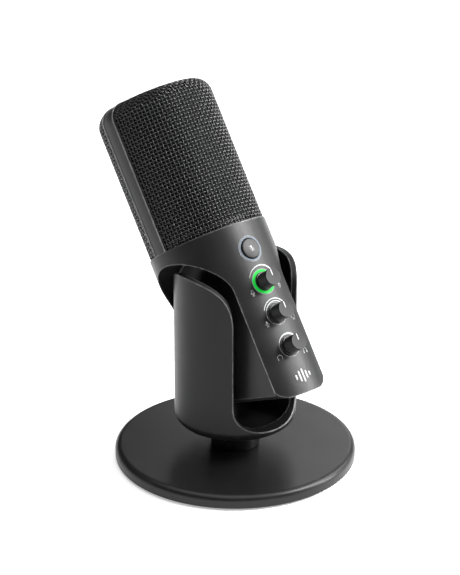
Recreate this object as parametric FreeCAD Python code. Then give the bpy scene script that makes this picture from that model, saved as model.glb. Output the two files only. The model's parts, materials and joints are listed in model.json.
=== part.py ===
import FreeCAD, Part
import math
import os
from FreeCAD import Vector

# Desktop microphone on a tilting yoke stand. Millimetres and degrees.
# +Z is up, the control panel faces -Y, and the origin is on the table under the base's centre.
# The microphone is modelled upright about its own pivot, with its axis along Z, and then
# leaned back and lifted to the yoke's pivot by tilted().

# ---- Driving dimensions: base ----
base_radius = 62.5
base_top = 8.0
base_edge_round = 3.2
base_lower_round = 0.8
base_lift = 1.0                  # lower edge of the cover above the table
base_wall = 2.4
base_side_wall = 2.5
weight_gap = 0.3                 # weight to the inside of the cover
foot_thickness = 1.8
foot_inset = 5.0                 # rubber foot inside the base's rim
foot_edge_round = 0.45
screw_circle_inset = 24.0        # base screws inside the base's rim
base_screw_count = 4

# ---- Driving dimensions: yoke and neck ----
neck_radius = 12.6
neck_height = 13.5               # from the base's top to the yoke's underside
neck_edge_round = 0.7
spigot_radius = 9.0
spigot_gap = 0.2                 # spigot to the collar's bore
spigot_rise = 1.0                # spigot's end above the base's top
insert_radius = 6.5
insert_floor = 0.6
stud_radius = 4.76
stud_head_ratio = 1.8            # stud's head to its shank
stud_flat_ratio = 0.9            # across the head's flats, to its round
stud_tip_gap = 1.0
stud_hole_gap = 0.14
yoke_wall = 3.2
yoke_inset = 0.1                 # yoke's outside within the microphone's outside
yoke_lower_round = 6.0
yoke_bowl_round = 9.0
arm_half_depth = 23.4            # half the depth of an arm, seen from the side
arm_arch_lift = 2.6              # centre of the arm's round top above the pivot
rim_lift = 1.8                   # low edge of the U-shaped cut above the bowl's floor
rim_corner_round = 14.5
edge_round = 0.4                 # the small round along every exposed edge

# ---- Driving dimensions: microphone body ----
mic_radius = 31.6
lower_length = 53.6              # pivot to the foot of the control panel
upper_length = 39.0              # pivot to the housing's top edge
swing_clearance = 4.7            # panel's foot over the bowl's floor when upright
lean = 35.24                     # how far the microphone leans back at rest
wall = 2.4
floor_wall = 3.0
foot_slope = 0.2                 # rise of the underside for each millimetre towards the rear
panel_corner_round = 8.6
panel_corner_ease = 0.25         # corner rounds start this far outside the panel's edges
pocket_gap = 3.2                 # arm to the pocket's edge, seen from the side
pocket_arch_lift = 5.4           # centre of the pocket's round top above the pivot
pocket_floor = 15.0              # centre plane to the pocket's flat floor
pocket_round = 1.6

# ---- Driving dimensions: head ----
head_inset = 0.6                 # grille inside the housing's outside
head_height = 79.5               # from the housing's top edge to the flat top
head_round = 9.0
band_half = 5.3                  # half the width of the smooth band between the grilles
band_thickness = 2.4
lip_width = 0.7
lip_height = 0.4
grille_thickness = 1.2
grille_gap = 0.1
ring_seat_gap = 0.2              # the head frame's ring to the pockets' upper walls
ring_rise = 3.0
ring_wall = 2.6
shelf_thickness = 2.4
shelf_width = 3.0
shelf_bite = 0.1                 # shelf into the ring it is part of
screen_gap = 0.1
screen_thickness = 0.6
capsule_rise = 47.0              # capsule's centre above the housing's top edge
capsule_radius = 10.2
capsule_length = 14.0
capsule_wall = 1.2
diaphragm_recess = 0.5
diaphragm_thickness = 0.3
cradle_wall = 2.4
cradle_width = 8.0
post_radius = 4.0
mount_plate_thickness = 2.5

# ---- Driving dimensions: hinge ----
pivot_radius = 3.0
running_gap = 0.05               # turning fits: pin in bush, shaft in bearing, plunger in switch
bush_radius = 5.0
bush_flange_radius = 7.0
bush_flange = 1.2
washer_thickness = 1.6
washer_radius = 9.5
boss_radius = 11.0
boss_gap = 0.15                  # yoke's boss to the friction washer
wave_washer = 0.8
head_gap = 0.2                   # wave washer to the bush's flange
pivot_head = 2.4
pivot_head_radius = 5.5
pivot_thread_length = 7.5        # pivot screw inside the yoke's boss

# ---- Driving dimensions: controls ----
mute_height = 24.3               # above the pivot, along the panel
first_knob_height = 6.4
knob_pitch = 17.4
knob_names = ["gain", "mix", "volume"]
knob_radius = 4.35
knob_skirt_radius = 4.9           # the flange at the knob's foot
knob_skirt_thickness = 0.8
knob_length = 8.6
knob_lift = 0.4                  # knob's skirt off the panel
knob_edge_round = 0.15
pointer_width = 0.5
pointer_length = 3.2
pointer_depth = 0.4
pointer_inset = 0.25             # pointer's end inside the knob's edge
shaft_radius = 2.0
shaft_engagement = 6.2           # shaft inside the knob
shaft_hole_gap = 0.4
pot_size = 9.5
pot_depth = 5.4
pot_shaft_depth = 3.0            # shaft inside the potentiometer
bore_spare = 0.3                 # a blind hole beyond what fills it
light_inner = 5.0
light_outer = 6.4
light_depth = 1.5
light_proud = 0.15
trim_outer = 5.6                 # black ring round each unlit knob
mute_cap_radius = 5.2
mute_gap = 0.4
mute_ring_width = 0.9
mute_proud = 0.7
mute_dome = 0.45
mute_travel = 1.0
mute_flange_radius = 6.4
mute_flange = 1.0
mute_cap_depth = 4.2             # cap inside the panel's outer face
plunger_radius = 1.75
switch_size = 6.0
switch_depth = 3.6

# ---- Driving dimensions: electronics, chassis and sockets ----
board_thickness = 1.6
control_board_depth = 9.6        # panel's outer face to the control board's front
board_half_width = 11.6
board_side_gap = 0.2
board_end_gap = 8.6              # the boards' lower end above the panel's foot
chassis_thickness = 2.0
chassis_rail_depth = 8.0
board_screw_inset = 0.5          # screw's head inside the board's edge
board_screw_spare = 0.4          # chassis left behind a board screw's tip
socket_recess = 0.8
cap_reach = 19.0                 # half the length of the bottom cap
cap_gap = 0.15
cap_round = 2.5
cap_margin = 1.0                 # panel's corner round to the cap's side
cap_screw_recess = 0.8
cap_screw_side = 4.2
cap_screw_inset = 5.0
post_rise = 6.0                  # the chassis post's top above the boards' lower end
post_cover = 3.0                 # the post above the cap screws' tips
post_wall = 1.5                  # the post behind the cap screws
usb_height = -17.0
usb_width = 9.0
usb_thickness = 3.2
usb_length = 8.0
usb_cavity_length = 6.4
usb_shell = 0.35
usb_tongue_half = 0.35
usb_tongue_reach = 3.3
usb_tongue_setback = 0.9
usb_hole_gap = 0.2
jack_height = 1.0
jack_bore = 1.8
jack_bore_length = 14.0
jack_width = 6.4
jack_nose_radius = 3.2
jack_length = 16.0
jack_hole_gap = 0.1
jack_body_gap = 1.0              # jack's square body to the housing's wall
main_board_setback = 2.4         # main board's rear edge to the sockets' mouths
main_board_rise = 1.0            # main board above the inside of the floor
main_board_margin = 4.0          # main board above the headphone jack
small_screw_radius = 1.2
small_head_radius = 2.2
small_head = 1.2
mount_head_radius = 1.5
mount_screw_radius = 0.9
base_screw_radius = 1.5
base_head_radius = 3.0
base_head = 1.5
hexagon_ratio = 0.5              # a screw's hexagon to its head
hexagon_depth = 0.6              # share of the head's height
far = 200.0                      # longer than any part, for cutting tools
past = 2.0                       # how far a cutting tool starts outside the surface
touching = 1e-6

# ---- Derived places ----
yoke_radius = mic_radius - yoke_inset
yoke_inner = yoke_radius - yoke_wall
yoke_bottom = base_top + neck_height
bowl_floor = yoke_bottom + yoke_wall
pivot_height = bowl_floor + swing_clearance + lower_length
arm_arch_z = pivot_height + arm_arch_lift
arm_top = arm_arch_z + arm_half_depth
slot_half = math.sqrt(yoke_radius ** 2 - arm_half_depth ** 2)
rim_z = bowl_floor + rim_lift
pocket_half = arm_half_depth + pocket_gap
panel_half = math.sqrt(mic_radius ** 2 - pocket_half ** 2)
cavity_radius = mic_radius - wall
cavity_half = pocket_floor - wall
head_radius = mic_radius - head_inset
head_top = upper_length + head_height
ring_bottom = pocket_arch_lift + pocket_half + wall + ring_seat_gap
ring_radius = cavity_radius - grille_gap
ring_inner = ring_radius - ring_wall
knob_heights = [first_knob_height - index * knob_pitch for index in range(len(knob_names))]
board_front = -(mic_radius - control_board_depth)
board_back = board_front + board_thickness
board_bottom = -lower_length + board_end_gap
board_top = ring_bottom - board_side_gap - small_head
main_board_front = board_back + chassis_thickness

X = Vector(1, 0, 0)
Y = Vector(0, 1, 0)
Z = Vector(0, 0, 1)
ORIGIN = Vector(0, 0, 0)


# ---- Outline and solid helpers ----
def corner_arc(before, corner, after, radius):
    """End points and middle of the arc that rounds a corner between two straight sides."""
    to_before = before.sub(corner).normalize()
    to_after = after.sub(corner).normalize()
    half = to_before.getAngle(to_after) / 2
    reach = radius / math.tan(half)
    bisector = to_before.add(to_after).normalize()
    centre = corner.add(bisector.multiply(radius / math.sin(half)))
    start = corner.add(Vector(to_before).multiply(reach))
    end = corner.add(Vector(to_after).multiply(reach))
    inward = corner.sub(centre).normalize()
    middle = centre.add(inward.multiply(radius))
    return start, middle, end


def outline(points, plane):
    """A closed face from (u, v) or (u, v, corner radius) points; plane is xz, yz or xy."""
    place = {
        "xz": lambda u, v: Vector(u, 0, v),
        "yz": lambda u, v: Vector(0, u, v),
        "xy": lambda u, v: Vector(u, v, 0),
    }[plane]
    corners = [place(point[0], point[1]) for point in points]
    rounds = [point[2] if len(point) > 2 else 0 for point in points]
    edges = []
    ends = []
    for index, corner in enumerate(corners):
        if rounds[index]:
            after = corners[(index + 1) % len(corners)]
            start, middle, end = corner_arc(corners[index - 1], corner, after, rounds[index])
            ends.append((start, end, Part.Arc(start, middle, end).toShape()))
        else:
            ends.append((corner, corner, None))
    for index, (start, end, arc) in enumerate(ends):
        if arc:
            edges.append(arc)
        following = ends[(index + 1) % len(ends)][0]
        if end.distanceToPoint(following) > 1e-6:
            edges.append(Part.LineSegment(end, following).toShape())
    return Part.Face(Part.Wire(edges))


def turned(points):
    """A solid of revolution about Z from (radius, height[, corner radius]) points."""
    return outline(points, "xz").revolve(ORIGIN, Z, 360)


def rod(radius, length, start, direction):
    return Part.makeCylinder(radius, length, start, direction)


def tube(outer, inner, length, start, direction):
    return rod(outer, length, start, direction).cut(rod(inner, length, start, direction))


def block(low, high):
    size = [high[axis] - low[axis] for axis in range(3)]
    return Part.makeBox(size[0], size[1], size[2], Vector(*low))


def joined(shapes):
    result = shapes[0]
    for shape in shapes[1:]:
        result = result.fuse(shape)
    return result.removeSplitter()


def mirrored(shape):
    return shape.mirror(ORIGIN, X)


def tilted(shape):
    """Lean a microphone piece back and lift it from its own pivot to the yoke's."""
    placed = shape.copy()
    placed.rotate(ORIGIN, X, -lean)
    placed.translate(Vector(0, 0, pivot_height))
    return placed


def screw(head_centre, direction, head_size, head_length, shank_radius, shank_length):
    """Socket-head screw: its head's top at head_centre, its shank along direction."""
    head = rod(head_size, head_length, head_centre, direction)
    hexagon = Part.Wire(Part.makePolygon([
        Vector(head_size * hexagon_ratio * math.cos(math.radians(60 * corner)),
               head_size * hexagon_ratio * math.sin(math.radians(60 * corner)), 0)
        for corner in range(7)]))
    socket = Part.Face(hexagon).extrude(Vector(0, 0, head_length * hexagon_depth))
    socket.Placement = FreeCAD.Placement(head_centre, FreeCAD.Rotation(Z, direction))
    shank_start = head_centre + Vector(direction).multiply(head_length)
    shank = rod(shank_radius, shank_length, shank_start, direction)
    return head.cut(socket).fuse(shank).removeSplitter()


def edges_where(shape, test):
    return [edge for edge in shape.Edges if test(edge)]


# ---- Base ----
def base_screw_places():
    circle = base_radius - screw_circle_inset
    turn = 360.0 / base_screw_count
    return [Vector(circle * math.cos(math.radians(turn * (index + 0.5))),
                   circle * math.sin(math.radians(turn * (index + 0.5))), 0)
            for index in range(base_screw_count)]


def base_screw_reach():
    """Height of the screws' tips, inside the cover's top wall."""
    return base_top - base_wall / 2


def make_base_cover():
    inside = base_radius - base_side_wall
    ceiling = base_top - base_wall
    cover = turned([
        (0, ceiling), (inside, ceiling), (inside, base_lift),
        (base_radius, base_lift, base_lower_round),
        (base_radius, base_top, base_edge_round), (0, base_top)])
    cover = cover.cut(rod(stud_radius + stud_hole_gap, far, ORIGIN, Z))
    for place in base_screw_places():
        cover = cover.cut(rod(base_screw_radius, base_screw_reach(), place, Z))
    return cover


def make_base_weight():
    inside = base_radius - base_side_wall - weight_gap
    ceiling = base_top - base_wall
    weight = rod(inside, ceiling - foot_thickness, Vector(0, 0, foot_thickness), Z)
    weight = weight.cut(rod(stud_radius + stud_hole_gap, far, ORIGIN, Z))
    weight = weight.cut(rod(stud_head_radius() + stud_hole_gap, stud_head_top(), ORIGIN, Z))
    for place in base_screw_places():
        weight = weight.cut(rod(base_screw_radius + stud_hole_gap, far, place, Z))
        head_hole = rod(base_head_radius + stud_hole_gap, foot_thickness + base_head, place, Z)
        weight = weight.cut(head_hole)
    return weight


def make_base_screws():
    screws = []
    for place in base_screw_places():
        head = place + Vector(0, 0, foot_thickness)
        length = base_screw_reach() - foot_thickness - base_head
        screws.append(screw(head, Z, base_head_radius, base_head, base_screw_radius, length))
    return Part.makeCompound(screws)


def make_foot_pad():
    """The rubber sheet under the base, which covers its screws."""
    outer = base_radius - foot_inset
    return turned([
        (0, 0), (outer, 0, foot_edge_round), (outer, foot_thickness), (0, foot_thickness)])


def stud_head_radius():
    return stud_radius * stud_head_ratio


def stud_head_top():
    return foot_thickness + (base_top - base_wall - foot_thickness) / 2


def make_mount_stud():
    head_height = stud_head_top() - foot_thickness
    head = rod(stud_head_radius(), head_height, Vector(0, 0, foot_thickness), Z)
    for side in range(6):
        flat = block((stud_head_radius() * stud_flat_ratio, -far, 0), (far, far, far))
        flat.rotate(ORIGIN, Z, 60 * side)
        head = head.cut(flat)
    tip = insert_top() - stud_tip_gap
    shank = rod(stud_radius, tip - stud_head_top(), Vector(0, 0, stud_head_top()), Z)
    return joined([head, shank])


# ---- Neck and yoke ----
def spigot_bottom():
    return base_top + spigot_rise


def insert_top():
    return bowl_floor - yoke_wall / 2


def make_neck_collar():
    return turned([
        (spigot_radius + spigot_gap, base_top), (neck_radius, base_top, neck_edge_round),
        (neck_radius, yoke_bottom), (spigot_radius + spigot_gap, yoke_bottom)])


def make_thread_insert():
    length = insert_top() - spigot_bottom()
    start = Vector(0, 0, spigot_bottom())
    return rod(insert_radius, length, start, Z).cut(rod(stud_radius, length - insert_floor, start, Z))


def boss_face():
    """Distance of the yoke's boss face from the centre plane."""
    return pocket_floor + washer_thickness + boss_gap


def fan(unit_outline, direction, near, reach):
    """A ruled solid from an outline at unit distance: all its level lines run out from the Z axis."""
    ends = []
    for distance in (near, reach):
        matrix = FreeCAD.Matrix()
        matrix.scale(Vector(1 if direction.x else distance, 1 if direction.y else distance, 1))
        wire = unit_outline.transformGeometry(matrix)
        wire.translate(Vector(direction).multiply(distance))
        ends.append(wire)
    return Part.makeLoft(ends, True, True)


def arch_fan():
    """What an arm keeps above its middle: radial sides and a round top, for the right arm."""
    unit = 1.0 / slot_half
    low = arm_middle()
    shoulder = arm_half_depth
    left, right = Vector(0, -shoulder, arm_arch_z), Vector(0, shoulder, arm_arch_z)
    wire = Part.Wire([
        Part.LineSegment(Vector(0, shoulder, low), right).toShape(),
        Part.Arc(right, Vector(0, 0, arm_top), left).toShape(),
        Part.LineSegment(left, Vector(0, -shoulder, low)).toShape(),
        Part.LineSegment(Vector(0, -shoulder, low), Vector(0, shoulder, low)).toShape()])
    matrix = FreeCAD.Matrix()
    matrix.scale(Vector(1, unit, 1))
    return fan(wire.transformGeometry(matrix), X, slot_half / 2, 2 * yoke_radius)


def slot_fan():
    """The U-shaped cut between the arms, through the front of the bowl."""
    high = arm_middle() + 1
    shoulder = rim_z + rim_corner_round
    half = rim_corner_round
    left, right = Vector(-half, 0, shoulder), Vector(half, 0, shoulder)
    wire = Part.Wire([
        Part.LineSegment(Vector(-half, 0, high), left).toShape(),
        Part.Arc(left, Vector(0, 0, rim_z), right).toShape(),
        Part.LineSegment(right, Vector(half, 0, high)).toShape(),
        Part.LineSegment(Vector(half, 0, high), Vector(-half, 0, high)).toShape()])
    matrix = FreeCAD.Matrix()
    matrix.scale(Vector(slot_half / arm_half_depth / half, 1, 1))
    return fan(wire.transformGeometry(matrix), -Y, 1, 2 * yoke_radius)


def arm_middle():
    """A height where the arms' sides are plain: below the round tops, above the bowl's rim."""
    return (arm_arch_z + rim_z + rim_corner_round) / 2


def make_yoke():
    bowl = turned([
        (0, yoke_bottom), (yoke_radius, yoke_bottom, yoke_lower_round),
        (yoke_radius, arm_top + 1), (yoke_inner, arm_top + 1),
        (yoke_inner, bowl_floor, yoke_bowl_round), (0, bowl_floor)])
    upper_space = block((-far, -far, arm_middle()), (far, far, far))
    slot = slot_fan()
    lower = bowl.cut(upper_space).cut(slot).cut(slot.mirror(ORIGIN, Y))
    right_arm = bowl.common(arch_fan())
    yoke = joined([lower, right_arm, mirrored(right_arm)])
    yoke = yoke.makeFillet(edge_round, edges_where(yoke, lambda edge: is_rim(yoke, edge)))
    boss_length = yoke_inner - boss_face() + yoke_wall / 3
    right = rod(boss_radius, boss_length, Vector(boss_face(), 0, pivot_height), X)
    spigot = rod(spigot_radius, yoke_bottom + yoke_wall / 2 - spigot_bottom(),
                 Vector(0, 0, spigot_bottom()), Z)
    yoke = joined([yoke, right, mirrored(right), spigot])
    insert_length = insert_top() - spigot_bottom()
    yoke = yoke.cut(rod(insert_radius, insert_length, Vector(0, 0, spigot_bottom()), Z))
    thread = rod(pivot_radius, pivot_thread_length, Vector(boss_face(), 0, pivot_height), X)
    return yoke.cut(thread).cut(mirrored(thread))


def is_rim(yoke, edge):
    """True for an edge between a ruled cut face and the wall's round inside or outside."""
    kinds = {face.Surface.TypeId for face in yoke.ancestorsOfType(edge, Part.Face)}
    return "Part::GeomBSplineSurface" in kinds and len(kinds) > 1


# ---- Hinge ----
def bush_flange_face():
    return cavity_half - bush_flange


def pivot_shoulder():
    return bush_flange_face() - head_gap - wave_washer


def make_pivot_screw():
    start = Vector(pivot_shoulder() - pivot_head, 0, 0)
    length = boss_face() + pivot_thread_length - pivot_shoulder()
    return screw(start, X, pivot_head_radius, pivot_head, pivot_radius, length)


def make_wave_washer():
    return tube(pivot_head_radius, pivot_radius, wave_washer, Vector(pivot_shoulder(), 0, 0), X)


def make_bush():
    barrel = tube(bush_radius, pivot_radius + running_gap, wall + washer_thickness - head_gap,
                  Vector(cavity_half, 0, 0), X)
    flange = tube(bush_flange_radius, pivot_radius + running_gap, bush_flange,
                  Vector(bush_flange_face(), 0, 0), X)
    return joined([barrel, flange])


def make_friction_washer():
    return tube(washer_radius, bush_radius, washer_thickness, Vector(pocket_floor, 0, 0), X)


# ---- Housing ----
def pocket_tool(floor, half, fillet):
    """The side pocket: flat floor, straight sides and a round top; it runs out of the bottom."""
    profile = joined([
        rod(half, far, Vector(floor, 0, pocket_arch_lift), X),
        block((floor, -half, -far), (floor + far, half, pocket_arch_lift))])
    if fillet:
        profile = profile.makeFillet(fillet, edges_where(
            profile, lambda edge: is_floor_edge(edge, floor)))
    return profile


def is_floor_edge(edge, floor):
    """True for an edge round the pocket's floor, but not for the one far below."""
    box = edge.BoundBox
    on_floor = abs(box.XMax - floor) < touching
    return on_floor and (box.ZMin > -far + past or box.YLength < touching)


def underside_tool(lift, half, corner):
    """Everything below the sloping underside, raised by lift, with rounded lower corners."""
    profile = outline([
        (-far, -far), (far, -far), (far, corner), (half, corner),
        (half, 0, corner), (-half, 0, corner), (-half, corner), (-far, corner)], "xz")
    profile.translate(Vector(0, -far, 0))
    tool = profile.extrude(Vector(0, 2 * far, 0))
    tool.rotate(ORIGIN, X, math.degrees(math.atan(foot_slope)))
    tool.translate(Vector(0, -mic_radius, lift - lower_length))
    return tool


def housing_outside():
    outside = rod(mic_radius, lower_length + upper_length + 1, Vector(0, 0, -lower_length - 1), Z)
    outside = outside.cut(underside_tool(0, panel_half + panel_corner_ease, panel_corner_round))
    pocket = pocket_tool(pocket_floor, pocket_half, pocket_round)
    outside = outside.cut(pocket).cut(mirrored(pocket))
    rims = edges_where(outside, lambda edge: is_outer_edge(outside, edge))
    return outside.makeFillet(edge_round, rims)


def is_outer_edge(outside, edge):
    """True for an edge on the housing's round outside, and for the short ones that end them below."""
    if any(edge.isSeam(face) for face in outside.ancestorsOfType(edge, Part.Face)):
        return False
    first, last = edge.ParameterRange
    points = [edge.valueAt(first + (last - first) * step / 4) for step in range(5)]
    on_outside = all(abs(math.hypot(point.x, point.y) - mic_radius) < 1e-3 for point in points)
    on_pocket_side = all(abs(abs(point.y) - pocket_half) < 1e-3 for point in points)
    return on_outside or (on_pocket_side and edge.Curve.TypeId == "Part::GeomEllipse")


def housing_cavity():
    cavity = rod(cavity_radius, lower_length + upper_length + 1, Vector(0, 0, -lower_length - 1), Z)
    cavity = cavity.cut(underside_tool(floor_wall, cavity_half, panel_corner_round - wall))
    pocket = pocket_tool(cavity_half, pocket_half + wall, 0)
    return cavity.cut(pocket).cut(mirrored(pocket))


def cap_window(gap):
    """The opening in the underside for the bottom cap, less a gap all round."""
    half = panel_half - panel_corner_round - cap_margin - gap
    reach = cap_reach - gap
    plan = outline([(-half, -reach, cap_round), (half, -reach, cap_round),
                    (half, reach, cap_round), (-half, reach, cap_round)], "xy")
    plan.translate(Vector(0, 0, -far))
    return plan.extrude(Vector(0, 0, far))


def panel_rod(radius, height, front, back):
    """A round bar normal to the panel, from y = front to y = back."""
    return rod(radius, back - front, Vector(0, front, height), Y)


def panel_band(outer, inner):
    """The stretch of the panel's wall between two radii, as a tube about the microphone's axis."""
    length = upper_length + lower_length
    return tube(outer, inner, length, Vector(0, 0, -lower_length), Z)


def panel_disc(height, radius, proud):
    """A disc let into the panel and curved with it, standing proud by a little."""
    disc = panel_rod(radius, height, -mic_radius - past, 0)
    return disc.common(panel_band(mic_radius + proud, mic_radius - light_depth))


def light_ring(height, outer, inner, proud):
    hole = panel_rod(inner, height, -mic_radius - past, 0)
    return panel_disc(height, outer, proud).cut(hole)


def usb_slot(width, thickness, front, back):
    """A bar with round ends along Y, its long way along the microphone's axis."""
    half = (width - thickness) / 2
    return joined([
        rod(thickness / 2, back - front, Vector(0, front, usb_height + half), Y),
        rod(thickness / 2, back - front, Vector(0, front, usb_height - half), Y),
        block((-thickness / 2, front, usb_height - half), (thickness / 2, back, usb_height + half))])


def make_housing_shell():
    outside = housing_outside()
    shell = outside.cut(housing_cavity()).cut(cap_window(0))
    front = -mic_radius - past
    shell = shell.cut(panel_rod(mute_cap_radius + mute_gap, mute_height, front, 0))
    shell = shell.cut(panel_disc(mute_height, mute_cap_radius + mute_gap + mute_ring_width, past))
    shell = shell.cut(light_ring(knob_heights[0], light_outer, light_inner, past))
    for height in knob_heights[1:]:
        shell = shell.cut(light_ring(height, trim_outer, light_inner, past))
    for height in knob_heights:
        shell = shell.cut(panel_rod(shaft_radius + shaft_hole_gap, height, front, 0))
    hole = rod(bush_radius, far, Vector(0, 0, 0), X)
    shell = shell.cut(hole).cut(mirrored(hole))
    shell = shell.cut(usb_slot(usb_width + 2 * usb_hole_gap, usb_thickness + 2 * usb_hole_gap, 0, far))
    return shell.cut(rod(jack_nose_radius + jack_hole_gap, far, Vector(0, 0, jack_height), Y))


def make_bottom_cap():
    cap = cap_window(cap_gap).cut(underside_tool(0, panel_half, panel_corner_round))
    cap = cap.common(underside_tool(floor_wall, far / 2, 0))
    for place in cap_screw_places():
        cap = cap.cut(rod(small_screw_radius, far, place - Z * far / 2, Z))
        cap = cap.cut(rod(small_head_radius + cap_gap, small_head + far / 2, place - Z * far / 2, Z))
    return cap


def cap_screw_places():
    """Where the cap's screw heads start, on the sloping underside."""
    forward = cap_reach - cap_screw_inset
    underside = -lower_length + (mic_radius - forward) * foot_slope
    return [Vector(side * cap_screw_side, -forward, underside + cap_screw_recess) for side in (-1, 1)]


def make_cap_screws():
    return Part.makeCompound([
        screw(place, Z, small_head_radius, small_head, small_screw_radius,
              cap_post_top() - place.z - post_cover)
        for place in cap_screw_places()])


# ---- Chassis and boards ----
def cap_post_top():
    return board_bottom + post_rise


def board_screw_places():
    inset = small_head_radius + board_screw_inset
    side = board_half_width - inset
    return [Vector(x, 0, z) for x in (-side, side)
            for z in (board_bottom + inset, board_top - inset)]


def make_control_board():
    board = block((-board_half_width, board_front, board_bottom),
                  (board_half_width, board_back, board_top))
    for place in board_screw_places():
        board = board.cut(rod(small_screw_radius, far, place - Y * far / 2, Y))
    return board


def make_board_screws():
    length = board_thickness + chassis_thickness - board_screw_spare
    return Part.makeCompound([
        screw(place + Y * (board_front - small_head), Y, small_head_radius, small_head,
              small_screw_radius, length)
        for place in board_screw_places()])


def make_chassis():
    half = cavity_half - board_side_gap
    plate = block((-half, board_back, board_bottom), (half, main_board_front, board_top))
    rail_front = main_board_front
    rails = [block((side * half - (chassis_thickness if side > 0 else 0), rail_front, board_bottom),
                   (side * half + (0 if side > 0 else chassis_thickness),
                    rail_front + chassis_rail_depth, board_top)) for side in (-1, 1)]
    cap_back = -(cap_reach - cap_screw_inset) + small_head_radius + post_wall
    post = block((-half, main_board_front, -lower_length), (half, cap_back, cap_post_top()))
    chassis = joined([plate, rails[0], rails[1], post])
    lower_round = panel_corner_round - wall
    chassis = chassis.cut(underside_tool(floor_wall, cavity_half - board_side_gap, lower_round))
    for place in board_screw_places():
        depth = board_back + chassis_thickness - board_screw_spare - board_front
        chassis = chassis.cut(rod(small_screw_radius, depth, place + Y * board_front, Y))
    for place in cap_screw_places():
        depth = cap_post_top() - post_cover + small_head - place.z
        chassis = chassis.cut(rod(small_screw_radius, depth, place, Z))
    return chassis


def socket_face():
    """How far back the sockets' mouths are, just inside the housing's outer face."""
    return mic_radius - socket_recess


def main_board_side():
    """The main board's face that carries the sockets, so that they sit on the centre plane."""
    return -usb_thickness / 2


def make_main_board():
    back = socket_face() - main_board_setback
    bottom = -lower_length + floor_wall + 2 * mic_radius * foot_slope + main_board_rise
    board = block((main_board_side() - board_thickness, main_board_front, bottom),
                  (main_board_side(), back, jack_height + jack_width / 2 + main_board_margin))
    notch = block((-far, socket_face() - jack_length, jack_height - jack_width / 2),
                  (far, far, jack_height + jack_width / 2))
    return board.cut(notch)


def make_usb_socket():
    front = socket_face() - usb_length
    shell = usb_slot(usb_width, usb_thickness, front, socket_face())
    hollow = usb_slot(usb_width - 2 * usb_shell, usb_thickness - 2 * usb_shell,
                      socket_face() - usb_cavity_length, far)
    tongue = block(
        (-usb_tongue_half, front, usb_height - usb_tongue_reach),
        (usb_tongue_half, socket_face() - usb_tongue_setback, usb_height + usb_tongue_reach))
    return joined([shell.cut(hollow), tongue])


def make_jack():
    body_back = cavity_radius - jack_body_gap
    body = block((-jack_width / 2, socket_face() - jack_length, jack_height - jack_width / 2),
                 (jack_width / 2, body_back, jack_height + jack_width / 2))
    nose_start = Vector(0, socket_face() - jack_length / 2, jack_height)
    nose = rod(jack_nose_radius, jack_length / 2, nose_start, Y)
    bore_start = Vector(0, socket_face() - jack_bore_length, jack_height)
    bore = rod(jack_bore, jack_bore_length, bore_start, Y)
    return joined([body, nose]).cut(bore)


# ---- Controls ----
def knob_skirt():
    return -(mic_radius + knob_lift)


def shaft_tip():
    return knob_skirt() - shaft_engagement


def pot_front():
    return board_front - pot_depth


def make_pot(height):
    half = pot_size / 2
    body = block((-half, pot_front(), height - half), (half, board_front, height + half))
    depth = pot_shaft_depth + bore_spare
    bore = rod(shaft_radius + running_gap, depth, Vector(0, pot_front(), height), Y)
    return body.cut(bore)


def make_shaft(height):
    return panel_rod(shaft_radius, height, shaft_tip(), pot_front() + pot_shaft_depth)


def make_knob(height):
    body = panel_rod(knob_radius, height, knob_skirt() - knob_length, knob_skirt())
    face = edges_where(body, lambda edge: edge.BoundBox.YMax < knob_skirt() - knob_length / 2
                       and len(edge.Vertexes) == 1)
    body = body.makeFillet(knob_edge_round, face)
    skirt = panel_rod(knob_skirt_radius, height, knob_skirt() - knob_skirt_thickness, knob_skirt())
    body = joined([body, skirt]).cut(panel_rod(shaft_radius, height, shaft_tip(), 0))
    return body.cut(pointer_bar(height))


def pointer_bar(height):
    """The inlaid line on a knob's face, from near its edge towards the middle."""
    face = knob_skirt() - knob_length
    outer = knob_radius - knob_edge_round - pointer_inset
    return block((-pointer_width / 2, face, height + outer - pointer_length),
                 (pointer_width / 2, face + pointer_depth, height + outer))


def mute_face():
    """Height of the mute cap's rim in front of the microphone's axis."""
    return -(mic_radius + mute_proud)


def make_mute_cap():
    back = -(mic_radius - mute_cap_depth)
    sphere = (mute_cap_radius ** 2 + mute_dome ** 2) / (2 * mute_dome)
    dome = Part.makeSphere(sphere, Vector(0, mute_face() - mute_dome + sphere, mute_height))
    cap = panel_rod(mute_cap_radius, mute_height, mute_face() - 2 * mute_dome, back).common(dome)
    rim = edges_where(cap, lambda edge: len(edge.Vertexes) == 1
                      and edge.BoundBox.YMax < mute_face() + mute_gap
                      and edge.BoundBox.XLength > mute_cap_radius)
    cap = cap.makeFillet(edge_round, rim)
    flange = panel_rod(mute_flange_radius, mute_height, back - mute_flange, back)
    return joined([cap, flange])


def switch_front():
    return board_front - switch_depth


def make_mute_plunger():
    back = -(mic_radius - mute_cap_depth)
    return panel_rod(plunger_radius, mute_height, back, switch_front() + mute_travel)


def make_mute_switch():
    half = switch_size / 2
    body = block((-half, switch_front(), mute_height - half),
                 (half, board_front, mute_height + half))
    bore = panel_rod(plunger_radius + running_gap, mute_height, switch_front(),
                     switch_front() + 2 * mute_travel + bore_spare)
    return body.cut(bore)


# ---- Head ----
def head_envelope(offset, bottom):
    return turned([(0, bottom), (head_radius + offset, bottom),
                   (head_radius + offset, head_top + offset, head_round + offset),
                   (0, head_top + offset)])


def head_shell(outer, inner, bottom):
    return head_envelope(outer, bottom).cut(head_envelope(inner, bottom))


def slab(half):
    """Everything within this distance of the XZ plane."""
    return block((-far, -half, -far), (far, half, far))


def make_grille(side):
    shell = head_shell(0, -grille_thickness, upper_length)
    edge = band_half + grille_gap
    low = edge if side > 0 else -far
    high = far if side > 0 else -edge
    return shell.common(block((-far, low, 0), (far, high, far)))


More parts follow.
